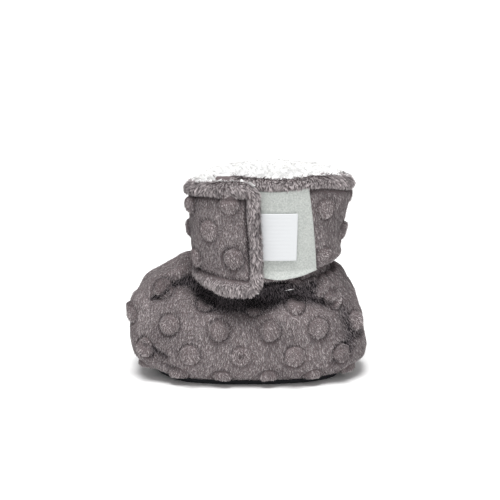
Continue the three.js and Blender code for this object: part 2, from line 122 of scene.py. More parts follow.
# %% Sections of the last
SECTION_COLUMNS = ["toe", "heel", "side", "toe_rise", "heel_rise", "side_rise", "back", "square", "valley"]
SECTIONS = np.array([
    [-1.29, -1.29, -1.44, 0.0, 0.0, 0.0, 0.0, 2.5, 0.0],
    [-1.0, -1.0, -1.0, 0.0, 0.0, 0.0, 0.0, 2.5, 0.0],
    [-0.56, -0.52, -0.52, 0.048, 0.04, 0.045, 0.0, 2.5, 0.0],
    [-0.2, -0.13, -0.2, 0.138, 0.12, 0.125, -0.1, 2.5, 0.1],
    [-0.02, 0.0, -0.02, 0.266, 0.215, 0.23, -0.2, 2.5, 0.2],
    [0.0, 0.07, 0.01, 0.41, 0.36, 0.36, -0.1, 2.5, 0.35],
    [0.045, 0.15, 0.06, 0.56, 0.505, 0.49, 0.0, 2.5, 0.6],
    [0.13, 0.27, 0.22, 0.73, 0.65, 0.615, 0.2, 2.5, 0.85],
    [0.29, 0.42, 0.44, 0.885, 0.775, 0.725, 0.4, 2.5, 1.0],
    [0.5, 0.58, 0.67, 0.96, 0.865, 0.815, 0.6, 2.45, 1.0],
    [0.73, 0.77, 0.86, 0.985, 0.92, 0.875, 0.8, 2.4, 0.7],
    [0.97, 0.975, 0.985, 0.985, 0.955, 0.935, 0.95, 2.3, 0.25],
    [1.0, 1.0, 1.0, 1.4, 1.4, 1.35, 1.0, 2.3, 0.0],
    [1.0, 1.0, 1.0, 2.0, 2.0, 2.0, 1.0, 2.3, 0.0],
])
NECK_TOP = len(SECTIONS) - 1


def read_table(table, column, row):
    """A column of a table read between its rows on a smooth curve."""
    last = len(table) - 1
    first = np.clip(np.floor(row).astype(int), 0, last - 1)
    share = row - first
    before, here, after, beyond = (table[np.clip(first + k, 0, last), column] for k in (-1, 0, 1, 2))
    slope, next_slope, rise = (after - before) / 2, (beyond - here) / 2, after - here
    return here + share * (
        slope + share * (3 * rise - 2 * slope - next_slope + share * (slope + next_slope - 2 * rise))
    )


def signed_power(base, power):
    return np.sign(base) * np.abs(base) ** power


def smoothstep(value, low, high):
    share = np.clip((value - low) / (high - low), 0, 1)
    return share * share * (3 - 2 * share)


def unit(vectors):
    return vectors / np.maximum(np.linalg.norm(vectors, axis=-1, keepdims=True), 1e-9)


print(len(SECTIONS), "sections")

# %% [markdown]
# The main folds of a soft shoe are where the cloth is pushed together: under the ridge of the
# instep and under the cuff at the heel. They are kept with the last, because they belong to the
# shoe's shape. So is the valley at the toe, where the two side panels are sewn together and the seam
# pulls the cloth in between two soft ridges.

# %% The skin of the last
# side (-1 nearest, 0 both), along (share of half the length), level, reach along, reach in levels, depth
FOLDS = [
    (0, -0.6, 8.2, 0.2, 0.7, 2.4),
    (-1, -0.37, 9.4, 0.15, 1.2, 6.5),
    (0, 0.58, 7.6, 0.22, 0.55, 2.2),
    (0, 0.18, 9.8, 0.06, 1.3, 1.6),
]


def toe_lift(x):
    return TOE_SPRING * smoothstep(-x, SOLE_LENGTH / 2 - SPRING_LENGTH, SOLE_LENGTH / 2)


def reach(draw, sole_reach, full_reach, neck_reach):
    below_full = full_reach - draw * (sole_reach - full_reach)
    above_full = full_reach + draw * (neck_reach - full_reach)
    return np.where(draw < 0, below_full, above_full)


def skin(level, turn):
    """Points of the upper's outside in millimetres, for arrays of levels and of turns in radians."""
    at = {name: read_table(SECTIONS, column, level) for column, name in enumerate(SECTION_COLUMNS)}
    along, across = np.cos(turn), np.sin(turn)
    toe_side = along < 0
    power = 2 / at["square"]
    middle = at["back"] * ANKLE_BACK
    toe_reach = reach(at["toe"], SOLE_LENGTH / 2, SHOE_LENGTH / 2, ANKLE_LENGTH / 2 - ANKLE_BACK)
    heel_reach = reach(at["heel"], SOLE_LENGTH / 2, SHOE_LENGTH / 2, ANKLE_LENGTH / 2 + ANKLE_BACK)
    half_width = reach(at["side"], SOLE_WIDTH / 2, SHOE_WIDTH / 2, ANKLE_WIDTH / 2)
    end_reach = np.where(toe_side, toe_reach + middle, heel_reach - middle)
    x = middle + end_reach * signed_power(along, power)
    y = half_width * signed_power(across, power)
    end_rise = np.where(toe_side, at["toe_rise"], at["heel_rise"])
    rise = at["side_rise"] + (end_rise - at["side_rise"]) * np.abs(along) ** 1.5
    z = SOLE_TOP + np.clip(rise, 0, 1) * BODY_HEIGHT + np.maximum(rise - 1, 0) * NECK_RISE
    z = z + toe_lift(x) * np.maximum(0, 1 - rise / 0.15)
    points = np.stack([x, y, z], axis=-1)
    toe_ridge = TOE_RIDGE_RISE * np.exp(-(((np.abs(y) - TOE_RIDGE_OFFSET) / TOE_RIDGE_WIDTH) ** 2))
    depth = np.where(
        toe_side,
        at["valley"] * (TOE_SEAM_DEPTH * np.exp(-((y / TOE_SEAM_WIDTH) ** 2)) - toe_ridge),
        HEEL_SEAM_DEPTH * np.minimum(1, at["valley"] * 2) * np.exp(-((y / HEEL_SEAM_WIDTH) ** 2)),
    )
    for side, fold_along, fold_level, along_reach, level_reach, fold_depth in FOLDS:
        off_along = (x / (SHOE_LENGTH / 2) - fold_along) / along_reach
        apart = off_along**2 + ((level - fold_level) / level_reach) ** 2
        out = side * y if side else np.abs(y)
        depth = depth + fold_depth * smoothstep(out, TOE_SEAM_WIDTH, TOE_SEAM_WIDTH * 2) * np.exp(-apart)
    core = np.stack([
        np.clip(x, -SHOE_LENGTH * 0.27, SHOE_LENGTH * 0.27),
        np.zeros_like(y),
        np.full_like(z, SOLE_TOP + BODY_HEIGHT * 0.4),
    ], axis=-1)
    return points + unit(core - points) * depth[..., None]


def skin_normal(level, turn):
    step = 0.01
    up = skin(np.minimum(level + step, NECK_TOP), turn) - skin(np.maximum(level - step, 0), turn)
    around = skin(level, turn + step) - skin(level, turn - step)
    return unit(np.cross(around, up))


toe_tip = skin(np.array([4.5]), np.array([math.pi]))[0]
print("toe at x =", round(float(toe_tip[0]), 1), "mm")

# %% [markdown]
# This plush is pressed with raised dots in rows that are offset by half a pitch, as bricks are.
# The dots are laid out as the cloth was cut: each side panel starts from the same dot, and the rows
# stop at the two centre seams. They could be scattered by a texture, but a seam would then cut
# through them and the two sides wouldn't mirror each other as sewn panels do.

# %% Raised dots of the upper
DOT_RADIUS = 4.6
DOT_RISE = 2.1
DOT_PITCH, ROW_PITCH = 24.4, 12.7
FIRST_DOT_X = 11.0


def dot_levels():
    step = 0.02
    found, climbed, last = [2], 0, skin(np.array([2.0]), np.array([-math.pi / 2]))[0]
    for level in np.arange(2 + step, NECK_TOP - 2.6, step):
        point = skin(np.array([level]), np.array([-math.pi / 2]))[0]
        climbed += float(np.linalg.norm(point - last))
        last = point
        if climbed >= ROW_PITCH:
            found.append(level)
            climbed = 0
    return found


def dot_turns(start_x, side):
    widest, step, margin = np.array([4.5]), 0.01, DOT_RADIUS * 1.5
    share = signed_power(start_x / (SHOE_LENGTH / 2), 1.25)
    start = side * math.acos(share)
    found = [start]
    for way in (1, -1):
        turn, travelled, last = start, 0, skin(widest, np.array([start]))[0]
        while side * last[1] > margin:
            turn += way * step
            point = skin(widest, np.array([turn]))[0]
            travelled += float(np.linalg.norm(point - last))
            last = point
            if travelled >= DOT_PITCH and side * point[1] > margin:
                found.append(turn)
                travelled -= DOT_PITCH
    return found


upper_dots = []
for row, level in enumerate(dot_levels()):
    for side in (-1, 1):
        for turn in dot_turns(FIRST_DOT_X - (row % 2) * DOT_PITCH / 2, side):
            upper_dots.append((level, turn))
dot_points = skin(*(np.array(values, dtype=float) for values in zip(*upper_dots)))
print(len(upper_dots), "dots on the upper")

# %% [markdown]
# The creases of the worn cloth are laid in one by one. Each one is a soft trough, or a ridge where its
# depth is below nought, along a short line given as it is seen from the side of the shoe. A cloth
# simulation would crumple the cloth too, but in places of its own choosing, and these places are
# what makes the slipper look like the one in the photograph.

# %% Creases laid in one by one
# side (-1 nearest, 1 far, 0 both), from x, z, to x, z, half width, depth
CREASES = [
    # the near ridge of the instep, and the sharp folds below it
    (-1, -54, 37, -43, 48, 3.4, -1.8),
    (-1, -43, 48, -26, 55.5, 3.2, -1.8),
    (-1, -46, 41, -38.5, 44.5, 1.7, 3.0),
    (-1, -38, 47, -30, 49.5, 1.7, 2.6),
    (-1, -30, 49.5, -22, 47, 2.6, 2.6),
    # the hollow under the flap and the fold that runs out of it to the heel
    (-1, -18, 45, 8, 44, 6.5, 5.0),
    (-1, 8, 45, 30, 47, 4.0, 3.6),
    (-1, 24, 43.5, 39, 39.5, 2.0, 2.6),
    (-1, 24, 48, 38, 45, 3.0, -1.2),
    # the roll under the hollow
    (-1, -14, 32, 20, 32, 6.0, -1.2),
    # small folds at the toe and at the heel
    (-1, -50, 20, -39, 15, 1.8, 1.8),
    (-1, -46, 14, -34, 9, 1.6, 1.0),
    (-1, 45, 36, 49, 24, 2.4, 1.3),
    (-1, 42, 18, 54, 23, 1.8, 1.3),
    (-1, 40, 12, 50, 17, 1.6, 0.9),
    # the far side
    (1, -40, 44, -30, 50, 2.4, 2.0),
    (1, -52, 36, -30, 53, 3.4, -1.4),
    (1, -14, 48, 34, 48, 4.0, 2.6),
    (1, -48, 20, -38, 12, 2.4, 1.3),
    (1, 40, 44, 50, 32, 2.6, 1.2),
    (1, 42, 16, 54, 22, 2.2, 1.0),
]
GATHER_DEPTH = 0.8
GATHERS = 26


def crease_depth(points):
    """How far the creases push the skin in at each point, in millimetres."""
    x, y, z = points[:, 0], points[:, 1], points[:, 2]
    depth = np.zeros(len(points))
    for side, x0, z0, x1, z1, half_width, amount in CREASES:
        run_x, run_z = x1 - x0, z1 - z0
        length = math.hypot(run_x, run_z)
        along = np.clip(((x - x0) * run_x + (z - z0) * run_z) / length**2, 0, 1)
        apart = np.hypot(x - x0 - along * run_x, z - z0 - along * run_z)
        on_side = smoothstep(side * y, 2, 8) if side else smoothstep(np.abs(y), 2, 8)
        depth += amount * on_side * np.exp(-((apart / half_width) ** 2))
    return depth


def soft_noise(points, size, seed):
    """Smooth noise between about -1 and 1 with bumps of the given size in millimetres."""
    offset = Vector((seed * 17.3, seed * 5.1, seed * 9.7))
    return np.array([noise.noise(Vector(p) / size + offset) for p in points])


print(len(CREASES), "creases")

# %% [markdown]
# Each piece of cloth starts as a flat grid, as it would lie on the cutting table, and is then laid
# over the last by moving its points. The grid keeps the cloth's own flat measures as its UV map.
# The outer layer and the lining are two such grids, joined along their edges into one closed wall.

# %% Helpers that cut a cloth and lay it over the last
def deselect_all():
    if bpy.context.object and bpy.context.object.mode != "OBJECT":
        bpy.ops.object.mode_set(mode="OBJECT")
    bpy.ops.object.select_all(action="DESELECT")


def make_active(piece):
    deselect_all()
    piece.select_set(True)
    bpy.context.view_layer.objects.active = piece


def read_field(data, field, width=1):
    """One field of a mesh's points or corners as an array, width numbers for each."""
    values = np.empty(len(data) * width)
    data.foreach_get(field, values)
    return values.reshape(-1, width) if width > 1 else values


def attribute_of(piece, name):
    return read_field(piece.data.attributes[name].data, "value")


def points_of(piece):
    return read_field(piece.data.vertices, "co", 3) / MM


def normals_of(piece):
    return read_field(piece.data.vertices, "normal", 3)


def put_attribute(piece, name, values, kind="FLOAT"):
    attribute = piece.data.attributes.get(name) or piece.data.attributes.new(name, kind, "POINT")
    field = "vector" if kind == "FLOAT_VECTOR" else "value"
    attribute.data.foreach_set(field, np.asarray(values, dtype=float).ravel())


def cut_cloth(name, columns, rows, flat_size, place, marks={}):
    """A grid of columns by rows faces, laid by place(across, up), each from 0 to 1, in millimetres.
    marks are values that are kept on its points, such as the distance to an edge."""
    deselect_all()
    bpy.ops.mesh.primitive_grid_add(x_subdivisions=columns, y_subdivisions=rows, size=1, calc_uvs=True)
    cloth = bpy.context.object
    cloth.name = name
    flat = read_field(cloth.data.vertices, "co", 3)
    across, up = flat[:, 0] + 0.5, flat[:, 1] + 0.5
    cloth.data.vertices.foreach_set("co", (place(across, up) * MM).ravel())
    for mark, value in marks.items():
        put_attribute(cloth, mark, value(across, up))
    uv = cloth.data.uv_layers.active.data
    uv.foreach_set("uv", (read_field(uv, "uv", 2) * np.array(flat_size) * MM).ravel())
    cloth.data.update()
    return cloth


def join_cloths(name, cloths, merge=0.02):
    """Joins cloths into one piece, merges the points that meet and faces the outside outwards."""
    deselect_all()
    for cloth in cloths:
        cloth.select_set(True)
    bpy.context.view_layer.objects.active = cloths[0]
    if len(cloths) > 1:
        bpy.ops.object.join()
    piece = bpy.context.object
    piece.name = name
    bpy.ops.object.mode_set(mode="EDIT")
    bpy.ops.mesh.select_all(action="SELECT")
    bpy.ops.mesh.remove_doubles(threshold=merge * MM)
    bpy.ops.mesh.normals_make_consistent(inside=False)
    bpy.ops.object.mode_set(mode="OBJECT")
    bpy.ops.object.shade_smooth()
    return piece


print("cloth helpers ready")

# %% [markdown]
# The upper is one wall of plush outside and fleece inside, about 3 mm thick with its wadding. Its
# outside rises over each dot and sinks into the creases, and it wavers a little everywhere, because
# no sewn cloth lies quite even. The lining follows the creases alone, and is held off the deepest.

# %% The upper's cloth
UPPER_AROUND, UPPER_UP = 420, 120
LINING_UP = 60
AROUND_LENGTH = 2.6 * (SHOE_LENGTH + SHOE_WIDTH) / 1.6
DEEPEST_CREASE, LINING_HELD_OFF = 6, 0.6
DOME_SQUARENESS, DOME_EDGE = 3.5, 0.6
RING_DEPTH, RING_SHARE, RING_WIDTH = 0.6, 1.12, 0.14
PRESSED_DOT_AT = (-2.3, -32, 16.5)
PRESSED_RIM, PRESSED_RIM_SHARE, PRESSED_RIM_WIDTH = 0.7, 0.62, 0.16
PRESSED_HOLE, PRESSED_HOLE_WIDTH = 2.4, 0.3
pressed = int(np.argmin(np.linalg.norm(dot_points - np.array(PRESSED_DOT_AT), axis=1)))


def distance_to_dots(points, centres):
    """How far each point is from the middle of the nearest dot."""
    nearest = np.full(len(points), 1e3)
    for centre in centres:
        nearest = np.minimum(nearest, np.linalg.norm(points - centre, axis=1))
    return nearest


def dome(share):
    """Height of a raised dot at a share of its radius."""
    return DOT_RISE * np.maximum(0, 1 - np.minimum(share, 1) ** DOME_SQUARENESS) ** DOME_EDGE


def dot_height(points, centres):
    """Height of the raised dots, each with a ring pressed in round it."""
    share = distance_to_dots(points, centres) / DOT_RADIUS
    ring = RING_DEPTH * np.exp(-(((share - RING_SHARE) / RING_WIDTH) ** 2))
    return dome(share) - ring


def pressed_dot(points):
    """One dot of the near side has been pushed in, and shows as a small hole with a low rim."""
    share = np.linalg.norm(points - dot_points[pressed], axis=1) / DOT_RADIUS
    rim = PRESSED_RIM * np.exp(-(((share - PRESSED_RIM_SHARE) / PRESSED_RIM_WIDTH) ** 2))
    hole = PRESSED_HOLE * np.exp(-((share / PRESSED_HOLE_WIDTH) ** 2))
    return rim - hole - dome(share)


def worn_skin(level, turn):
    """The skin with the creases pressed in, its normals, how far it may move, and the plain skin."""
    base = skin(level, turn)
    normal = skin_normal(np.clip(level, 0.5, NECK_TOP), turn)
    body = smoothstep(level, 1.2, 2.5) * (1 - smoothstep(level, NECK_TOP - 2, NECK_TOP - 1.2))
    return base - normal * (body * crease_depth(base))[:, None], normal, body, base


def place_upper_outside(across, up):
    turn = across * 2 * math.pi
    level = up * NECK_TOP
    worn, normal, body, base = worn_skin(level, turn)
    domes = dot_height(base, dot_points)
    # the gathers round the ankle fade out down the body
    gather_here = smoothstep(level, 7.5, 10) * (1 - smoothstep(level, 11.5, 12))
    waver = soft_noise(np.stack([turn * 3, level * 0.35, turn * 0], axis=-1), 1, 4)
    gathers = GATHER_DEPTH * np.cos(turn * GATHERS + waver * 4) * gather_here
    bumps = 0.9 * soft_noise(base, 13, 1) + 0.45 * soft_noise(base, 5.5, 2) + pressed_dot(base)
    return worn + normal * (body * (domes + bumps) + gathers)[:, None]


def place_upper_inside(across, up):
    turn = across * 2 * math.pi
    level = np.maximum(up, 0) * NECK_TOP
    outer, normal, body, base = worn_skin(level, turn)
    held_off = body * np.clip(crease_depth(base), 0, DEEPEST_CREASE) * LINING_HELD_OFF
    points = outer - normal * (UPPER_WALL + held_off)[:, None]
    points[up <= 0] = outer[up <= 0] + np.array([0, 0, UPPER_WALL])
    points[up >= 1, 2] = outer[up >= 1, 2]
    return points


def wall_edge(name, up):
    """The strip of cloth that closes the wall, at the neck's top or at the sole's edge."""
    def place(across, over):
        level = np.full_like(across, up)
        low, high = place_upper_outside(across, level), place_upper_inside(across, level)
        return low * (1 - over[:, None]) + high * over[:, None]
    return cut_cloth(name, UPPER_AROUND, 3, (AROUND_LENGTH, 3), place)


grounds = [bpy.data.materials.new(name) for name in ("plush_ground", "fleece_ground_painted_glow")]
PLUSH, FLEECE = 0, 1


def lay_on_ground(cloth, slot):
    """Gives a cloth both ground materials, and all of its faces the one at slot."""
    for ground in grounds:
        cloth.data.materials.append(ground)
    cloth.data.polygons.foreach_set("material_index", np.full(len(cloth.data.polygons), slot))


is_outside = {"outside": lambda across, up: np.ones_like(up)}
is_inside = {"outside": lambda across, up: np.zeros_like(up)}
outside = cut_cloth(
    "upper", UPPER_AROUND, UPPER_UP, (AROUND_LENGTH, 95), place_upper_outside, is_outside
)
inside = cut_cloth(
    "inside", UPPER_AROUND, LINING_UP, (AROUND_LENGTH, 85), place_upper_inside, is_inside
)
top_edge, low_edge = wall_edge("top_edge", 1.0), wall_edge("low_edge", 0.0)
lay_on_ground(outside, PLUSH)
for cloth in (inside, top_edge, low_edge):
    lay_on_ground(cloth, FLEECE)
upper = join_cloths("upper_cloth", [outside, inside, top_edge, low_edge])
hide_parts("upper")
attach(upper, "root")
print("upper has", len(upper.data.polygons), "faces")

# %% [markdown]
# The cuff is a long band wound once round the ankle and over its own end, so it is worked out as it
# is sewn: by its turn round the ankle and its height. It leans out a little towards the rim, lifts
# away where it passes over its own end, and its flap ends in two rounded corners.

# %% Shape of the cuff
CUFF_WALL, CUFF_HEIGHT = 4.5, 44
CUFF_LEAN, CUFF_LEAN_SIDE, CUFF_BACK_LEAN, HEM_FLARE = 5.5, 2.5, 1.7, 6
CUFF_BORDER = 6
FLAP_CORNER = 8.5
TAPE_THICKNESS, LABEL_THICKNESS = 1, 0.6
UNDERLAP_END, FLAP_END, FLAP_SLANT = -135, 264, -4
LIFT_START, LIFT_END = 158, 218
FLAP_LIFT = 3 * CLEARANCE + TAPE_THICKNESS + LABEL_THICKNESS + CUFF_WALL
# turn in degrees, bottom edge below the ankle seam, rim above its mean height, as shares of height
CUFF_EDGES = np.array([
    [-135, -0.04, -0.02],
    [-115, -0.03, 0.0],
    [-97, 0.1, -0.02],
    [-85, 0.1, -0.03],
    [-60, 0.03, 0.005],
    [-30, -0.005, -0.04],
    [0, 0.0, -0.1],
    [45, 0.05, -0.06],
    [90, 0.09, -0.02],
    [135, 0.02, -0.07],
    [180, -0.04, -0.13],
    [195, 0.0, -0.12],
    [210, 0.16, -0.1],
    [225, 0.2, -0.07],
    [245, 0.22, -0.04],
    [270, 0.235, -0.03],
])


def edge_at(column, turn):
    row = np.interp(turn, CUFF_EDGES[:, 0], np.arange(len(CUFF_EDGES)))
    return read_table(CUFF_EDGES, column, row)


def cuff_bottom(turn):
    return SEAM_HEIGHT - edge_at(1, turn) * CUFF_HEIGHT


def cuff_top(turn):
    return SEAM_HEIGHT + (1 + edge_at(2, turn)) * CUFF_HEIGHT


def flare_share(turn):
    """The hem stands out over the shoulder, but not at the toe, where it lies in a hollow."""
    turn = np.mod(turn, 360)
    return 1 - smoothstep(turn, 150, 180) * (1 - smoothstep(turn, 225, 245))


def band_point(turn, out, z):
    """A point of the band: turn in degrees, millimetres out from the underlap's outside, height."""
    lean = (z - SEAM_HEIGHT) / CUFF_HEIGHT
    flare = HEM_FLARE * np.maximum(0, -4 * lean) * flare_share(turn)
    base = CLEARANCE + CUFF_WALL + flare + FLAP_LIFT * smoothstep(turn, LIFT_START, LIFT_END) + out
    end_reach = ANKLE_LENGTH / 2 + CUFF_LEAN * np.maximum(0, lean) + base
    half_width = ANKLE_WIDTH / 2 + CUFF_LEAN_SIDE * np.maximum(0, lean) + base
    power = 2 / 2.3
    angle = np.radians(turn)
    return np.stack([
        ANKLE_BACK + CUFF_BACK_LEAN * lean + end_reach * signed_power(np.cos(angle), power),
        half_width * signed_power(np.sin(angle), power),
        z,
    ], axis=-1)


def slanted(turn, slant, z):
    return turn + slant * ((z - SEAM_HEIGHT) / CUFF_HEIGHT - 0.5)


half_height = SEAM_HEIGHT + CUFF_HEIGHT / 2
sample_turns = np.linspace(UNDERLAP_END, FLAP_END, 800)
sample_points = band_point(sample_turns, 0 * sample_turns, np.full(800, half_height))
sample_run = np.concatenate([[0], np.cumsum(np.linalg.norm(np.diff(sample_points, axis=0), axis=1))])
BAND_LENGTH = float(sample_run[-1])
run_at = lambda turn: np.interp(turn, sample_turns, sample_run)
turn_at = lambda run: np.interp(run, sample_run, sample_turns)
print("the band is", round(BAND_LENGTH), "mm long")

# %% [markdown]
# A soft edge such as this rim is plush turned over a little wadding and stitched down in a line about
# 6 mm from the edge. The border swells between the edge and the stitching, and the stitching itself
# sinks into a groove. The thickness at each place is therefore worked out from its distance to the
# nearest free edge, which rounds the corners of the flap in the same go.

# %% The cuff's cloth
CUFF_ALONG, CUFF_UP = 360, 54
STITCH_DEPTH, STITCH_WIDTH = 1.5, 0.8
BORDER_SWELL = 0.9
ROUND_EDGE = 2.6
TURNED_EDGE = 2.4
CORNER_BORDER_EXTRA, HEM_BORDER_EXTRA = 1.6, 0.8
FLAP_DOT_INSET = 13.5
CUFF_DOT_ROWS = (0.75, 1.75, 2.8)
# turn, depth under the rim as a share of the row pitch, for the dots beside the tape
TAPE_DOTS = [(-50, 1.2), (-44, 3.05), (-12, 2)]


def cuff_dots():
    found = [(turn, share * ROW_PITCH) for turn, share in TAPE_DOTS]
    column, run = 0, BAND_LENGTH - FLAP_DOT_INSET
    while turn_at(run) > 0:
        turn = turn_at(run)
        for row, share in enumerate(CUFF_DOT_ROWS):
            below = ROW_PITCH * share
            clear = cuff_top(turn) - below > cuff_bottom(turn) + CUFF_BORDER
            if row % 2 == column % 2 and below > CUFF_BORDER + DOT_RADIUS / 2 and clear:
                found.append((turn, below))
        column += 1
        run -= DOT_PITCH / 2
    return found


def band_slant(turn):
    return FLAP_SLANT * smoothstep(turn, LIFT_START, LIFT_END)


cuff_dot_points = []
for turn, below in cuff_dots():
    turn, z = np.array([float(turn)]), cuff_top(np.array([float(turn)])) - below
    cuff_dot_points.append(band_point(slanted(turn, band_slant(turn), z), 0 * z, z)[0])


def cuff_place(across, up):
    """Turn, height and distance to the nearest free edge for shares along and up the band."""
    run = across * BAND_LENGTH
    turn = turn_at(run)
    to_flap_end, to_underlap_end = BAND_LENGTH - run, run
    into = np.clip(1 - to_flap_end / FLAP_CORNER, 0, 1)
    cut = FLAP_CORNER * (1 - np.sqrt(1 - (into * 0.97) ** 2))
    low, high = cuff_bottom(turn) + cut, cuff_top(turn) - cut
    share = 0.5 - 0.5 * np.cos(np.pi * up) * (1 - 0.35 * np.sin(np.pi * up) ** 2)
    z = low + (high - low) * share
    edge = np.minimum(np.minimum(z - low, high - z), np.minimum(to_flap_end, to_underlap_end))
    return turn, z, edge


def stitch_edge(turn, z):
    """Distance to the edge along which the stitching runs: the rim all round, and all of the flap."""
    to_end = BAND_LENGTH - run_at(turn)
    to_rim = cuff_top(turn) - z
    to_hem = np.where(turn > LIFT_END - 12, (z - cuff_bottom(turn)), 99)
    wider_at_corner = CORNER_BORDER_EXTRA * (1 - smoothstep(to_end, 8, 34))
    return np.minimum(np.minimum(to_rim - wider_at_corner, to_hem - HEM_BORDER_EXTRA), to_end)


def half_wall(edge):
    return CUFF_WALL / 2 * np.sqrt(1 - (1 - np.clip(edge / ROUND_EDGE, 0, 1)) ** 2)


def place_cuff_outside(across, up):
    turn, z, edge = cuff_place(across, up)
    at = slanted(turn, band_slant(turn), z)
    flat = band_point(at, 0 * z, z)
    domes = dot_height(flat, cuff_dot_points)
    swell = BORDER_SWELL * np.exp(-(((edge - 3.4) / 1.7) ** 2))
    groove = STITCH_DEPTH * np.exp(-(((stitch_edge(turn, z) - CUFF_BORDER) / STITCH_WIDTH) ** 2))
    bumps = 0.55 * soft_noise(flat, 11, 5) + 0.35 * soft_noise(flat, 5, 6)
    inner = smoothstep(edge, 0, 3)
    out = half_wall(edge) - CUFF_WALL / 2 + swell - groove + inner * bumps + smoothstep(edge, 4, 7) * domes
    return band_point(at, out, z)


def place_cuff_inside(across, up):
    turn, z, edge = cuff_place(across, up)
    at = slanted(turn, band_slant(turn), z)
    return band_point(at, -half_wall(edge) - CUFF_WALL / 2, z)


cuff_marks = {
    "turn": lambda across, up: cuff_place(across, up)[0],
    "height": lambda across, up: cuff_place(across, up)[1],
    "edge": lambda across, up: cuff_place(across, up)[2],
}
flat_size = (BAND_LENGTH, CUFF_HEIGHT + 6)
cuff_outside = cut_cloth(
    "cuff_outside", CUFF_ALONG, CUFF_UP, flat_size, place_cuff_outside, {**cuff_marks, **is_outside}
)
cuff_inside = cut_cloth(
    "cuff_inside", CUFF_ALONG, CUFF_UP, flat_size, place_cuff_inside, {**cuff_marks, **is_inside}
)
lay_on_ground(cuff_outside, PLUSH)
lay_on_ground(cuff_inside, FLEECE)
cuff = join_cloths("cuff_cloth", [cuff_outside, cuff_inside], merge=0.05)
cuff_edge, cuff_turn, cuff_height = (attribute_of(cuff, name) for name in ("edge", "turn", "height"))
for face in cuff.data.polygons:
    if max(cuff_edge[corner] for corner in face.vertices) < TURNED_EDGE:
        first = face.vertices[0]
        on_far_rim = 20 < cuff_turn[first] < 178 and cuff_height[first] > SEAM_HEIGHT
        face.material_index = FLEECE if on_far_rim else PLUSH
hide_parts("cuff")
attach(cuff, "root")
print("cuff has", len(cuff.data.polygons), "faces")

# %% [markdown]
# The pale strip is loop tape, the soft half of a touch fastener. It is sewn flat on the underlap, and
# the flap's hidden hook patch grips it. Like the woven label, which is caught under the flap's
# edge, it is a thin band that follows the cuff at its own distance.

# %% Loop tape and woven label
TAPE_END, TAPE_SLANT, TAPE_TUCK = -62, -17.5, 33
TAPE_RIM_GAP, TAPE_HEM_GAP = 5.2, 0.9
LABEL_END, LABEL_TUCK = -75.2, 8
LABEL_HEIGHT, LABEL_BELOW_RIM = 22.4, 15.7
MM_PER_DEGREE = 0.56


def strip_place(start, end, slants, thickness, out, low_at, high_at, face, bow=0):
    """Lays one face of a thin strip on the band; its edges are rounded, and bow lifts its free end."""
    def place(across, up):
        turn = start + (end - start) * across
        slant = slants[0] + (slants[1] - slants[0]) * across
        low, high = low_at(turn), high_at(turn)
        z = low + (high - low) * (0.5 - 0.5 * np.cos(np.pi * up))
        to_ends = np.minimum(across, 1 - across) * (end - start) * MM_PER_DEGREE
        edge = np.minimum(np.minimum(z - low, high - z), to_ends)
        half = thickness / 2 * np.sqrt(1 - (1 - np.clip(edge / (thickness * 0.6), 0, 1)) ** 2)
        lifted = bow * across**2
        at = slanted(turn, slant, z)
        return band_point(at, out + thickness / 2 + face * half + lifted, z)
    return place


def make_strip(name, columns, rows, flat_size, **shape):
    faces = [cut_cloth(name, columns, rows, flat_size, strip_place(face=face, **shape)) for face in (1, -1)]
    return join_cloths(name, faces, merge=0.03)


under_flap = FLAP_END - 360
tape = make_strip(
    "loop_tape_cloth", 90, 60, (38, 43),
    start=under_flap - TAPE_TUCK, end=TAPE_END, slants=(FLAP_SLANT, TAPE_SLANT),
    thickness=TAPE_THICKNESS, out=CLEARANCE,
    low_at=lambda turn: cuff_bottom(turn) + TAPE_HEM_GAP,
    high_at=lambda turn: cuff_top(turn) - TAPE_RIM_GAP,
)
label_top = float(cuff_top(np.array([under_flap]))[0]) - LABEL_BELOW_RIM
label = make_strip(
    "woven_label_cloth", 60, 50, (24, LABEL_HEIGHT),
    start=under_flap - LABEL_TUCK, end=LABEL_END, slants=(FLAP_SLANT, FLAP_SLANT),
    thickness=LABEL_THICKNESS, out=2 * CLEARANCE + TAPE_THICKNESS,
    low_at=lambda turn: np.full_like(turn, label_top - LABEL_HEIGHT),
    high_at=lambda turn: np.full_like(turn, label_top),
    bow=0.3,
)
for piece, node, slot in ((tape, "loop_tape", "loop_pile"), (label, "woven_label", "woven_label")):
    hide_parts(node)
    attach(piece, "root")
print("tape and label laid on the cuff")

# %% [markdown]
# The sole of a soft slipper is one flat piece of dark non-slip fabric, a couple of millimetres thick
# with its backing. It is cut as a rounded outline, so it starts as a filled circle whose points are
# moved to that outline, and then it is extruded to its thickness, its edge is bevelled and its toe
# is turned up a little.

# %% Outsole and insole
SOLE_POINTS = 144
SOLE_RINGS = 6


def move_points(piece, change):
    for vertex in piece.data.vertices:
        vertex.co = Vector(change(*(vertex.co / MM))) * MM
    piece.data.update()


def sole_shape(x, y, z, length, width):
    turn = math.atan2(y, x)
    share = math.hypot(x, y)
    power = 2 / 2.5
    px = share * length / 2 * float(signed_power(math.cos(turn), power))
    py = share * width / 2 * float(signed_power(math.sin(turn), power))
    return px, py, z + float(toe_lift(np.array(px)))


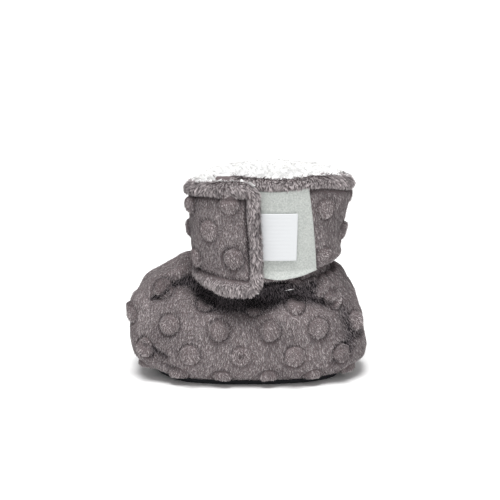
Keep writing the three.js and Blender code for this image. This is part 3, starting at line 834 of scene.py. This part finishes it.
def flat_pad(name, length, width, low, high, edge_round):
    deselect_all()
    bpy.ops.mesh.primitive_circle_add(vertices=SOLE_POINTS, radius=MM, fill_type="TRIFAN", location=(0, 0, 0))
    pad = bpy.context.object
    pad.name = name
    bpy.ops.object.mode_set(mode="EDIT")
    bpy.ops.mesh.select_all(action="SELECT")
    bpy.ops.mesh.subdivide(number_cuts=SOLE_RINGS)
    bpy.ops.mesh.extrude_region_move(TRANSFORM_OT_translate={"value": (0, 0, (high - low) * MM)})
    bpy.ops.mesh.select_all(action="SELECT")
    bpy.ops.mesh.normals_make_consistent(inside=False)
    bpy.ops.object.mode_set(mode="OBJECT")
    move_points(pad, lambda x, y, z: sole_shape(x, y, z + low, length, width))
    bevel = pad.modifiers.new("edge", "BEVEL")
    bevel.width, bevel.segments, bevel.angle_limit = edge_round * MM, 3, math.radians(50)
    make_active(pad)
    bpy.ops.object.modifier_apply(modifier="edge")
    bpy.ops.object.shade_smooth_by_angle(angle=math.radians(40))
    return pad


outsole = flat_pad("outsole_fabric", SOLE_LENGTH, SOLE_WIDTH, 0, SOLE_THICKNESS, 0.6)
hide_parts("outsole")
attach(outsole, "root")
INSOLE_LENGTH, INSOLE_WIDTH = 86.4, 46.4
INSOLE_THICKNESS = 5.5
INSOLE_LOW = SOLE_TOP + UPPER_WALL + CLEARANCE
insole = flat_pad(
    "insole_fleece", INSOLE_LENGTH, INSOLE_WIDTH, INSOLE_LOW, SOLE_TOP + INSOLE_THICKNESS, 0.8
)
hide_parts("insole")
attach(insole, "root")
print("outsole", len(outsole.data.polygons), "faces, insole", len(insole.data.polygons))

# %% [markdown]
# Plush is a knitted ground with a dense pile that all leans one way, its nap. Light catches the tips
# and dies between the roots, and that is what the eye reads as softness. A shader alone can't break
# the outline of a rim, so the pile is real: thousands of little tufts, each one a narrow leaf of three
# triangles, scattered over the cloth by Geometry Nodes and made real at the end. The cloth
# carries what each tuft needs to know: which way the nap lies, how long it is and how dense.

# %% The nap
def nap_of(piece, lift, swirl, away=None, seed=0):
    """The direction of each point's pile: down the cloth, swirled a little and lifted off it."""
    points, normals = points_of(piece), normals_of(piece)
    down = np.tile([0.0, 0.0, -1.0], (len(points), 1))
    if away is not None:
        down += 0.4 * unit((points - away) * [1, 1, 0])
    down = unit(down - normals * np.sum(down * normals, axis=1, keepdims=True))
    side = np.cross(normals, down)
    swirls = soft_noise(points, 9, seed + 11) + 0.7 * soft_noise(points, 3.2, seed + 12)
    angle = np.radians(np.asarray(swirl)) * swirls
    flat = down * np.cos(angle)[:, None] + side * np.sin(angle)[:, None]
    raised = np.radians(np.broadcast_to(lift, len(points)))[:, None]
    return unit(flat * np.cos(raised) + normals * np.sin(raised))


def make_tuft(name, width):
    """A leaf one unit long and width units wide, bowed a little, with its root in the cloth."""
    deselect_all()
    bpy.ops.mesh.primitive_grid_add(x_subdivisions=1, y_subdivisions=2, size=1)
    tuft = bpy.context.object
    tuft.name = name
    tips = []
    for vertex in tuft.data.vertices:
        share = vertex.co.y + 0.5
        narrow = {0.0: 0.8, 0.5: 1.0, 1.0: 0.0}[round(share, 1)]
        bow = {0.0: 0.0, 0.5: 0.07, 1.0: -0.02}[round(share, 1)]
        vertex.co = (vertex.co.x * width * narrow, bow, share)
        tips.append(share)
    put_attribute(tuft, "tip", tips)
    bpy.ops.object.mode_set(mode="EDIT")
    bpy.ops.mesh.select_all(action="SELECT")
    bpy.ops.mesh.remove_doubles(threshold=0.001)
    bpy.ops.object.mode_set(mode="OBJECT")
    bpy.ops.object.shade_smooth()
    return tuft


print("nap helpers ready")

# %% Growing a pile with Geometry Nodes
def add_node(tree, kind, settings={}, **inputs):
    """Adds a node with its settings, and links or sets its inputs by name."""
    node = tree.nodes.new(kind)
    for key, value in settings.items():
        setattr(node, key, value)
    for key, value in inputs.items():
        by_number = key[0] == "i" and key[1:].isdigit()
        socket = node.inputs[int(key[1:]) if by_number else key.replace("_", " ")]
        if isinstance(value, bpy.types.NodeSocket):
            tree.links.new(value, socket)
        else:
            socket.default_value = value
    return node


def maths(tree, operation, *values):
    """The result of a maths node. Each value is a number or another node's socket."""
    inputs = {f"i{place}": value for place, value in enumerate(values)}
    return add_node(tree, "ShaderNodeMath", {"operation": operation}, **inputs).outputs[0]


def vector_maths(tree, operation, *values):
    inputs = {f"i{place}": value for place, value in enumerate(values)}
    return add_node(tree, "ShaderNodeVectorMath", {"operation": operation}, **inputs).outputs[0]


LOCK_SIZE, LOCK_STRETCH = 0.8, 0.35
LOCK_LEAN = 12
CLOTH_ONLY = ("nap", "pile_density", "pile_length", "outside", "edge", "turn", "height", "tone_and_painted_shade")


def grow_pile(name, cloth, tuft, per_mm2, stray, seed):
    """Scatters copies of tuft over cloth by its attributes, and returns them as one new mesh."""
    tree = bpy.data.node_groups.new(name, "GeometryNodeTree")
    tree.interface.new_socket("Geometry", in_out="INPUT", socket_type="NodeSocketGeometry")
    tree.interface.new_socket("Geometry", in_out="OUTPUT", socket_type="NodeSocketGeometry")
    start = add_node(tree, "NodeGroupInput")

    def read(kind, attribute):
        node = add_node(tree, "GeometryNodeInputNamedAttribute", {"data_type": kind}, Name=attribute)
        return node.outputs["Attribute"]

    def chance(low, high, chance_seed):
        node = add_node(
            tree, "FunctionNodeRandomValue", {"data_type": "FLOAT"}, Min=low, Max=high, Seed=chance_seed
        )
        return node.outputs[1]

    density = maths(tree, "MULTIPLY", read("FLOAT", "pile_density"), per_mm2 / MM**2)
    points = add_node(
        tree, "GeometryNodeDistributePointsOnFaces", {"distribute_method": "RANDOM"},
        Mesh=start.outputs[0], Density=density, Seed=seed,
    )
    # neighbouring tufts lean together in small locks, and stray from them only a little
    place = add_node(tree, "GeometryNodeInputPosition").outputs[0]
    drawn_out = vector_maths(tree, "MULTIPLY", place, (1, 1, LOCK_STRETCH))
    locks = add_node(tree, "ShaderNodeTexNoise", {}, Vector=drawn_out, Scale=1 / (LOCK_SIZE * MM), Detail=2.0)
    lock_lean = vector_maths(
        tree, "MULTIPLY_ADD", locks.outputs["Color"], (LOCK_LEAN * stray,) * 3, (-LOCK_LEAN / 2 * stray,) * 3
    )
    wander = add_node(
        tree, "FunctionNodeRandomValue", {"data_type": "FLOAT_VECTOR"},
        i0=(-stray / 2,) * 3, i1=(stray / 2,) * 3, Seed=seed + 1,
    )
    strayed = vector_maths(tree, "ADD", lock_lean, wander.outputs[0])
    lean = vector_maths(tree, "ADD", read("FLOAT_VECTOR", "nap"), strayed)
    turned = add_node(
        tree, "FunctionNodeAxesToRotation", {"primary_axis": "Z", "secondary_axis": "Y"},
        i0=lean, i1=points.outputs["Normal"],
    )
    length = maths(tree, "MULTIPLY", read("FLOAT", "pile_length"), chance(0.65, 1.3, seed + 2))
    size = add_node(tree, "ShaderNodeVectorMath", {"operation": "SCALE"}, i0=(1, 1, 1), Scale=length)
    leaf = add_node(tree, "GeometryNodeObjectInfo", {}, Object=tuft)
    copies = add_node(
        tree, "GeometryNodeInstanceOnPoints", {}, Points=points.outputs["Points"],
        Instance=leaf.outputs["Geometry"], Rotation=turned.outputs[0], Scale=size.outputs[0],
    )
    lock_tone = add_node(
        tree, "ShaderNodeMapRange", {}, i0=locks.outputs["Fac"], i1=0.32, i2=0.68, i3=0.0, i4=0.8
    )
    toned = add_node(
        tree, "GeometryNodeStoreNamedAttribute", {"data_type": "FLOAT", "domain": "INSTANCE"},
        Geometry=copies.outputs[0], Name="tone",
        Value=maths(tree, "ADD", lock_tone.outputs[0], chance(0.0, 0.2, seed + 3)),
    )
    real = add_node(tree, "GeometryNodeRealizeInstances", {}, Geometry=toned.outputs[0])
    add_node(tree, "NodeGroupOutput", {}, Geometry=real.outputs[0])
    deselect_all()
    pile = cloth.copy()
    pile.data = cloth.data.copy()
    pile.name = name
    for key in [key for key in pile.keys() if key.startswith("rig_")]:
        del pile[key]
    bpy.context.collection.objects.link(pile)
    make_active(pile)
    modifier = pile.modifiers.new("pile", "NODES")
    modifier.node_group = tree
    bpy.ops.object.modifier_apply(modifier="pile")
    for spare in CLOTH_ONLY:
        if spare in pile.data.attributes:
            pile.data.attributes.remove(pile.data.attributes[spare])
    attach(pile, "root")
    print(name, len(pile.data.vertices), "points,", len(pile.data.polygons), "faces")
    return pile


plush_tuft = make_tuft("plush_tuft", 0.24)
fleece_tuft = make_tuft("fleece_tuft", 0.6)
print("tufts ready")

# %% Nap, length and density on each cloth
neck_middle = np.array([ANKLE_BACK, 0, SEAM_HEIGHT])


def dress(piece, length, density, shade, nap):
    put_attribute(piece, "nap", nap, "FLOAT_VECTOR")
    put_attribute(piece, "pile_length", length * MM)
    put_attribute(piece, "pile_density", density)
    put_attribute(piece, "shade", shade)


def dot_marks(points, centres):
    """How much each point lies on a dot, and how much in the ring round it."""
    nearest = distance_to_dots(points, centres)
    on_dot = 1 - smoothstep(nearest, DOT_RADIUS * 0.75, DOT_RADIUS * 1.15)
    return on_dot, np.exp(-(((nearest / DOT_RADIUS - 1.16) / 0.13) ** 2))


points = points_of(upper)
on_outside = attribute_of(upper, "outside")
on_dot, in_ring = dot_marks(points, dot_points)
painted_crease_shade = np.clip(crease_depth(points) / 3, 0, 1)
showing = on_outside * (points[:, 2] < SEAM_HEIGHT + 2) * (points[:, 2] > 2.0)
# The shade here is partly painted light: painted shade in the creases and in the ring round each dot, and a
# painted highlight on the raised tops of the dots; the rest is random tone.
dress(
    upper,
    length=1.15 + 0.2 * soft_noise(points, 7, 21) - 0.15 * on_dot,
    density=showing * (1 - 0.45 * in_ring),
    shade=0.5 + 0.2 * soft_noise(points, 16, 22) + 0.3 * on_dot - 0.8 * painted_crease_shade - 0.25 * in_ring,
    nap=nap_of(upper, 12 + 22 * on_dot, 24 + 60 * on_dot, away=neck_middle, seed=0),
)
put_attribute(upper, "tone_and_painted_shade", attribute_of(upper, "shade"))
points = points_of(cuff)
turn, height, edge = (attribute_of(cuff, name) for name in ("turn", "height", "edge"))
on_outside = attribute_of(cuff, "outside")
on_dot, in_ring = dot_marks(points, cuff_dot_points)
stitched = stitch_edge(turn, height)
on_border = 1 - smoothstep(stitched, 3.5, 6.5)
in_groove = np.exp(-(((stitched - CUFF_BORDER) / 0.9) ** 2))
far_rim = (turn > 20) & (turn < 178) & (height > cuff_top(turn) - 1.8)
real_turn = slanted(turn, band_slant(turn), height)
tape_edge = slanted(TAPE_END, TAPE_SLANT, height) - 1
above_tape_hem = height > cuff_bottom(turn) + TAPE_HEM_GAP + 0.4
under_tape = (real_turn < tape_edge) & (height < cuff_top(turn) - TAPE_RIM_GAP - 0.5) & above_tape_hem
hidden = (turn < -118) | (under_tape & (turn < 0))
bare = (1 - 0.7 * in_groove) * (1 - 0.45 * in_ring)
dress(
    cuff,
    length=1.15 + 0.2 * soft_noise(points, 7, 23) - 0.15 * on_dot + 0.9 * on_border - 0.5 * in_groove,
    density=np.clip(on_outside + (edge < 2.0), 0, 1) * ~(hidden | far_rim) * bare,
    # Partly painted light: painted shade in the stitch groove and in the ring round each dot, and a painted
    # highlight on the tops of the dots.
    shade=(
        0.5 + 0.2 * soft_noise(points, 14, 24) + 0.3 * on_dot
        + 0.12 * on_border - 0.4 * in_groove - 0.25 * in_ring
    ),
    nap=nap_of(cuff, 12 + 22 * on_dot + 16 * on_border, 24 + 60 * on_dot + 30 * on_border, seed=5),
)
put_attribute(cuff, "tone_and_painted_shade", attribute_of(cuff, "shade"))
upper_pile = grow_pile("upper_pile", upper, plush_tuft, 2.9, 0.11, 1)
cuff_pile = grow_pile("cuff_pile", cuff, plush_tuft, 3.6, 0.12, 7)

# %% [markdown]
# The lining is curly white fleece. It is seen over the rim and down the neck, so its tufts are
# longer and wider than the plush's, and swirl every way.

# %% The lining's pile
def grow_fleece(name, cloth, density, per_mm2, seeds, away=None, mean_length=2.0, length_spread=0.5):
    """Dresses a cloth for fleece and grows it. seeds are those of length, shade, nap and pile."""
    points = points_of(cloth)
    dress(
        cloth,
        length=mean_length + length_spread * soft_noise(points, 4, seeds[0]),
        density=density,
        shade=0.5 + 0.3 * soft_noise(points, 5, seeds[1]),
        nap=nap_of(cloth, 28, 150, away=away, seed=seeds[2]),
    )
    pile = grow_pile(name, cloth, fleece_tuft, per_mm2, 0.1, seeds[3])
    return pile


seen_inside = (height > SEAM_HEIGHT + 8) & ((turn < 205) | (height > cuff_top(turn) - 3.5)) & (turn > -133)
fleecy = np.clip(np.clip(1 - on_outside, 0, 1) * seen_inside + far_rim, 0, 1)
cuff_fleece = grow_fleece("cuff_fleece_pile", cuff, fleecy, 2.6, (31, 32, 9, 21))
points = points_of(upper)
clear_of_creases = (points[:, 2] > 12) * (crease_depth(points) < 0.8)
fleecy = np.clip(1 - attribute_of(upper, "outside"), 0, 1) * clear_of_creases
upper_fleece = grow_fleece("upper_fleece_pile", upper, fleecy, 0.9, (33, 34, 13, 31))
insole_pile = grow_fleece(
    "insole_pile", insole, (normals_of(insole)[:, 2] > 0.5).astype(float), 1.4, (35, 36, 17, 41),
    away=np.zeros(3), mean_length=1.8, length_spread=0.4,
)
for tuft in (plush_tuft, fleece_tuft):
    bpy.data.objects.remove(tuft)
print("lining done")

# %% [markdown]
# Materials. Each one is named for what it is and starts from typical values of that textile. The white fleece
# is also given a faint glow, which is painted light.

# %% Material helpers
def linear(colour):
    """An sRGB hex colour as the linear values that a shader takes."""
    parts = [int(colour[i:i + 2], 16) / 255 for i in (1, 3, 5)]
    return tuple(c / 12.92 if c <= 0.04045 else ((c + 0.055) / 1.055) ** 2.4 for c in parts) + (1.0,)


def new_material(name, **sockets):
    material = bpy.data.materials.get(name) or bpy.data.materials.new(name)
    material.use_nodes = True
    tree = material.node_tree
    shader = tree.nodes["Principled BSDF"]
    for key, value in sockets.items():
        shader.inputs[key.replace("_", " ")].default_value = value
    return material, tree, shader


def wear(piece, *materials):
    piece.data.materials.clear()
    for material in materials:
        piece.data.materials.append(material)


def ramp(tree, fac, stops):
    node = add_node(tree, "ShaderNodeValToRGB", {}, Fac=fac)
    elements = node.color_ramp.elements
    while len(elements) < len(stops):
        elements.new(0.5)
    for element, (place, colour) in zip(elements, stops):
        element.position = place
        element.color = linear(colour)
    return node.outputs["Color"]


def texture(tree, kind, size, settings={}, **inputs):
    """A texture on the object's own coordinates, with features of about size millimetres."""
    place = add_node(tree, "ShaderNodeTexCoord").outputs["Object"]
    return add_node(tree, "ShaderNodeTex" + kind, settings, Vector=place, Scale=1 / (size * MM), **inputs)


def value_of(tree, attribute):
    return add_node(tree, "ShaderNodeAttribute", {"attribute_name": attribute}).outputs["Fac"]


def roughen(tree, shader, height, strength, depth):
    """Lets a texture's height bump the surface, depth millimetres deep."""
    bump = add_node(tree, "ShaderNodeBump", {}, Strength=strength, Distance=depth * MM, Height=height)
    tree.links.new(bump.outputs[0], shader.inputs["Normal"])


# %% Plush pile and its ground
def pile_material(name, root, middle, tip, dark, light, **sockets):
    material, tree, shader = new_material(name, **sockets)
    # Each tuft is darker at its root than at its tip: painted shade down among the tufts. The shade attribute
    # carries the cloth's painted shade and highlights into the tufts, and tone adds each lock's random tone.
    along = ramp(tree, value_of(tree, "tip"), [(0.0, root), (0.45, middle), (1.0, tip)])
    shade = maths(tree, "ADD", value_of(tree, "shade"), -0.5)
    tone = maths(tree, "MULTIPLY_ADD", shade, 0.9, value_of(tree, "tone"))
    varied = ramp(tree, tone, [(0.0, dark), (0.5, "#bcbcbc"), (1.0, light)])
    mixed = add_node(
        tree, "ShaderNodeMix", {"data_type": "RGBA", "blend_type": "MULTIPLY"}, i0=1.0, i6=along, i7=varied
    )
    tree.links.new(mixed.outputs[2], shader.inputs["Base Color"])
    return material


plush_pile = pile_material(
    "plush_pile", root="#6c6566", middle="#b0a7a8", tip="#ded5d5", dark="#848286", light="#ffffff",
    Roughness=0.8, Sheen_Weight=0.3, Sheen_Roughness=0.4, Sheen_Tint=linear("#d8d0d0"),
    Specular_IOR_Level=0.2,
)
# The fleece tufts glow a little: painted light for the light that white fleece lets through.
fleece_pile = pile_material(
    "white_fleece_pile_painted_glow", root="#f6f5f3", middle="#fdfdfc", tip="#ffffff", dark="#f6f6f6", light="#ffffff",
    Roughness=0.85, Sheen_Weight=0.4, Sheen_Roughness=0.5, Specular_IOR_Level=0.2,
    Emission_Color=(1, 1, 1, 1), Emission_Strength=0.3,
)
tree, shader = new_material("plush_ground", Roughness=0.95, Specular_IOR_Level=0.1)[1:]
# The ground under the pile follows the shade down to near black: painted shade in the creases, the stitch
# groove and the rings round the dots.
tone_and_painted_shade = ramp(tree, value_of(tree, "tone_and_painted_shade"), [(0.0, "#1c1a1c"), (0.55, "#6a6061")])
tree.links.new(tone_and_painted_shade, shader.inputs["Base Color"])
grain = texture(tree, "Noise", 1.2, Detail=3.0)
roughen(tree, shader, grain.outputs["Fac"], 0.6, 0.5)
# The fleece ground glows a little too: painted light for the light that white fleece lets through.
fleece_ground_painted_glow, tree, shader = new_material(
    "fleece_ground_painted_glow", Base_Color=linear("#f6f6f4"), Roughness=0.95, Specular_IOR_Level=0.1,
    Emission_Color=(1, 1, 1, 1), Emission_Strength=0.3,
)
curls = texture(tree, "Voronoi", 1.6)
roughen(tree, shader, curls.outputs["Distance"], 0.8, 0.8)
for piece in (upper_pile, cuff_pile):
    wear(piece, plush_pile)
for piece in (cuff_fleece, upper_fleece, insole_pile):
    wear(piece, fleece_pile)
wear(insole, fleece_ground_painted_glow)
print("plush and fleece ready")

# %% Tape, label and sole
brushed_loops, tree, shader = new_material(
    "brushed_loop_tape", Base_Color=linear("#d3d6d2"), Roughness=0.9, Sheen_Weight=0.3, Specular_IOR_Level=0.2
)
loops = texture(tree, "Noise", 0.7, Detail=4.0, Roughness=0.7)
colour = ramp(tree, loops.outputs["Fac"], [(0.35, "#a3a7a4"), (0.5, "#b6bab6"), (0.65, "#c6c9c5")])
tree.links.new(colour, shader.inputs["Base Color"])
roughen(tree, shader, loops.outputs["Fac"], 0.7, 0.4)
wear(tape, brushed_loops)
woven_ribbon, tree, shader = new_material(
    "woven_satin_ribbon", Base_Color=linear("#d3d5d7"), Roughness=0.55, Sheen_Weight=0.1
)
THREAD_PITCH = 0.9
threads = texture(tree, "Wave", THREAD_PITCH * 6.28, {"bands_direction": "Z"}, Distortion=0.6)
roughen(tree, shader, threads.outputs["Fac"], 0.25, 0.1)
wear(label, woven_ribbon)
# The sole's dark colour is partly painted shade: its edge gives the dark line along the table, where mostly
# the shade under the slipper lies.
sole_fabric, tree, shader = new_material(
    "non_slip_sole_fabric", Base_Color=linear("#26272b"), Roughness=0.85, Specular_IOR_Level=0.3
)
nubs = texture(tree, "Voronoi", 2.0)
roughen(tree, shader, nubs.outputs["Distance"], 0.7, 0.5)
wear(outsole, sole_fabric)
print("tape, label and sole ready")

# %% [markdown]
# The photograph is a catalogue picture: a white table, white all round, and wide soft light from
# above, so that only a soft shadow lies under the slipper.

# %% Table and light
deselect_all()
bpy.ops.mesh.primitive_plane_add(size=30, location=(0, 0, 0))
table = bpy.context.object
table.name = "white_table"
table_top, tree, shader = new_material("white_table_top", Base_Color=linear("#fafafa"), Roughness=0.9)
wear(table, table_top)
table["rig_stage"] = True

world = bpy.data.worlds.get("World") or bpy.data.worlds.new("World")
bpy.context.scene.world = world
world.use_nodes = True
world.node_tree.nodes["Background"].inputs["Color"].default_value = (1, 1, 1, 1)
world.node_tree.nodes["Background"].inputs["Strength"].default_value = 0.45


def soft_sun(name, towards, strength, spread):
    """A wide, even light from far away, like a softbox, that shines along towards."""
    deselect_all()
    bpy.ops.object.light_add(type="SUN", location=(0, 0, 1))
    lamp = bpy.context.object
    lamp.name = name
    lamp.data.energy = strength
    lamp.data.angle = math.radians(spread)
    lamp.rotation_euler = Vector(towards).to_track_quat("-Z", "Y").to_euler()
    return lamp


soft_sun("key_light", (0.05, 0.3, -1.0), 3.4, 30)
soft_sun("front_light", (0, 1, -0.25), 0.4, 60)
bpy.context.scene.view_settings.view_transform = "Standard"
print("lights ready")

# %% Print the sizes and finish
visual_box = [list(corner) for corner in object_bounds()]
for low_high, which in ((cad_box, "cad"), (visual_box, "visual")):
    print(which, [[round(value / MM, 1) for value in corner] for corner in low_high])
